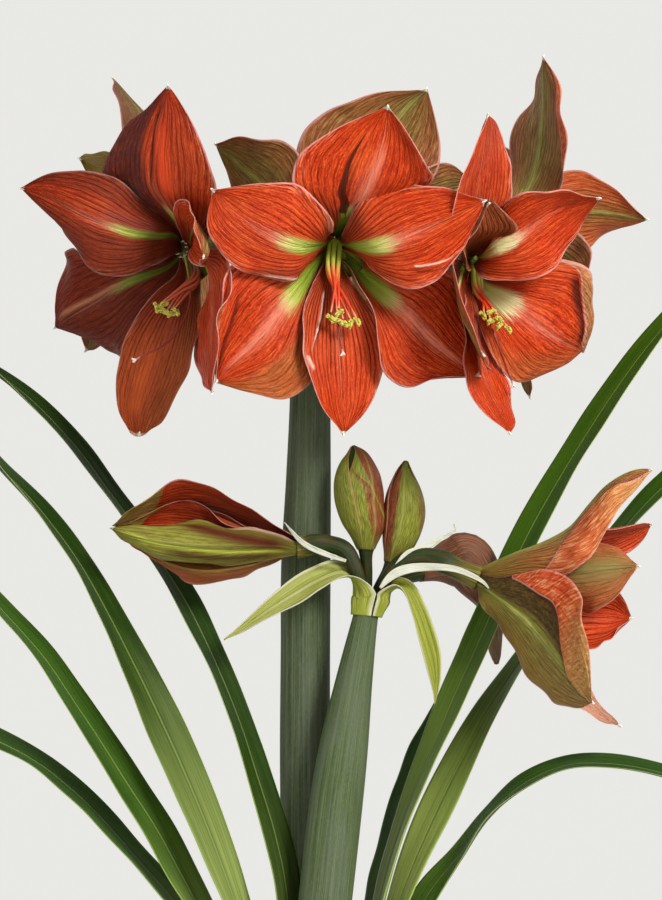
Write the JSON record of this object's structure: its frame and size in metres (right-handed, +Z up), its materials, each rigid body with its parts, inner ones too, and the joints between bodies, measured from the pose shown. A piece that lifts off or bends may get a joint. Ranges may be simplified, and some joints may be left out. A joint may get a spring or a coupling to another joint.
{
  "type": "potted amaryllis plant",
  "caption": "Bulb plant in a round terracotta pot: strap leaves, two flower stalks, large trumpet flowers with pointed veined petals, opening buds.",
  "frame": {"origin": "centre of the underside of the pot, on the surface it stands on", "axes": "+Z up along the pot, front of the plant towards -Y, +X to the right as seen from the front"},
  "size_m": [0.6492, 0.2609, 0.8041],
  "materials": {
    "terracotta": "matte",
    "soil": "matte",
    "bulb_tunic": "matte",
    "scape": "satin",
    "leaf": "satin",
    "tepal": "satin",
    "tepal_back": "satin",
    "pedicel": "satin",
    "bud": "satin",
    "spathe": "matte",
    "bracteole": "matte",
    "stamen": "matte"
  },
  "bodies": {
    "root": {"bracteole_1": "bracteole", "bracteole_3": "bracteole", "bracteole_4": "bracteole", "bud_nodding": "bud", "bud_upright_left": "bud", "bud_upright_right": "bud", "bulb": "bulb_tunic", "flower_back_centre": "tepal_back", "flower_back_left": "tepal_back", "flower_back_right": "tepal_back", "flower_front_base": "pedicel", "flower_front_stamens": "stamen", "flower_front_tepal_1": "tepal", "flower_front_tepal_2": "tepal", "flower_front_tepal_3": "tepal", "flower_front_tepal_4": "tepal", "flower_front_tepal_5": "tepal", "flower_front_tepal_6": "tepal", "flower_half_open": "tepal_back", "flower_left_base": "pedicel", "flower_left_stamens": "stamen", "flower_left_tepal_1": "tepal", "flower_left_tepal_2": "tepal", "flower_left_tepal_3": "tepal", "flower_left_tepal_4": "tepal", "flower_left_tepal_5": "tepal", "flower_left_tepal_6": "tepal", "flower_right_base": "pedicel", "flower_right_stamens": "stamen", "flower_right_tepal_1": "tepal", "flower_right_tepal_2": "tepal", "flower_right_tepal_3": "tepal", "flower_right_tepal_4": "tepal", "flower_right_tepal_5": "tepal", "flower_right_tepal_6": "tepal", "flower_side_base": "pedicel", "flower_side_stamens": "stamen", "flower_side_tepal_1": "tepal", "flower_side_tepal_2": "tepal", "flower_side_tepal_3": "tepal", "flower_side_tepal_4": "tepal", "flower_side_tepal_5": "tepal", "flower_side_tepal_6": "tepal", "leaf_left_1": "leaf", "leaf_left_2": "leaf", "leaf_left_3": "leaf", "leaf_left_4": "leaf", "leaf_right_1": "leaf", "leaf_right_2": "leaf", "leaf_right_3": "leaf", "leaf_right_4": "leaf", "pot": "terracotta", "scape_short": "scape", "scape_tall": "scape", "soil": "soil", "spathe_left": "spathe", "spathe_right": "spathe"}
  },
  "joints": []
}
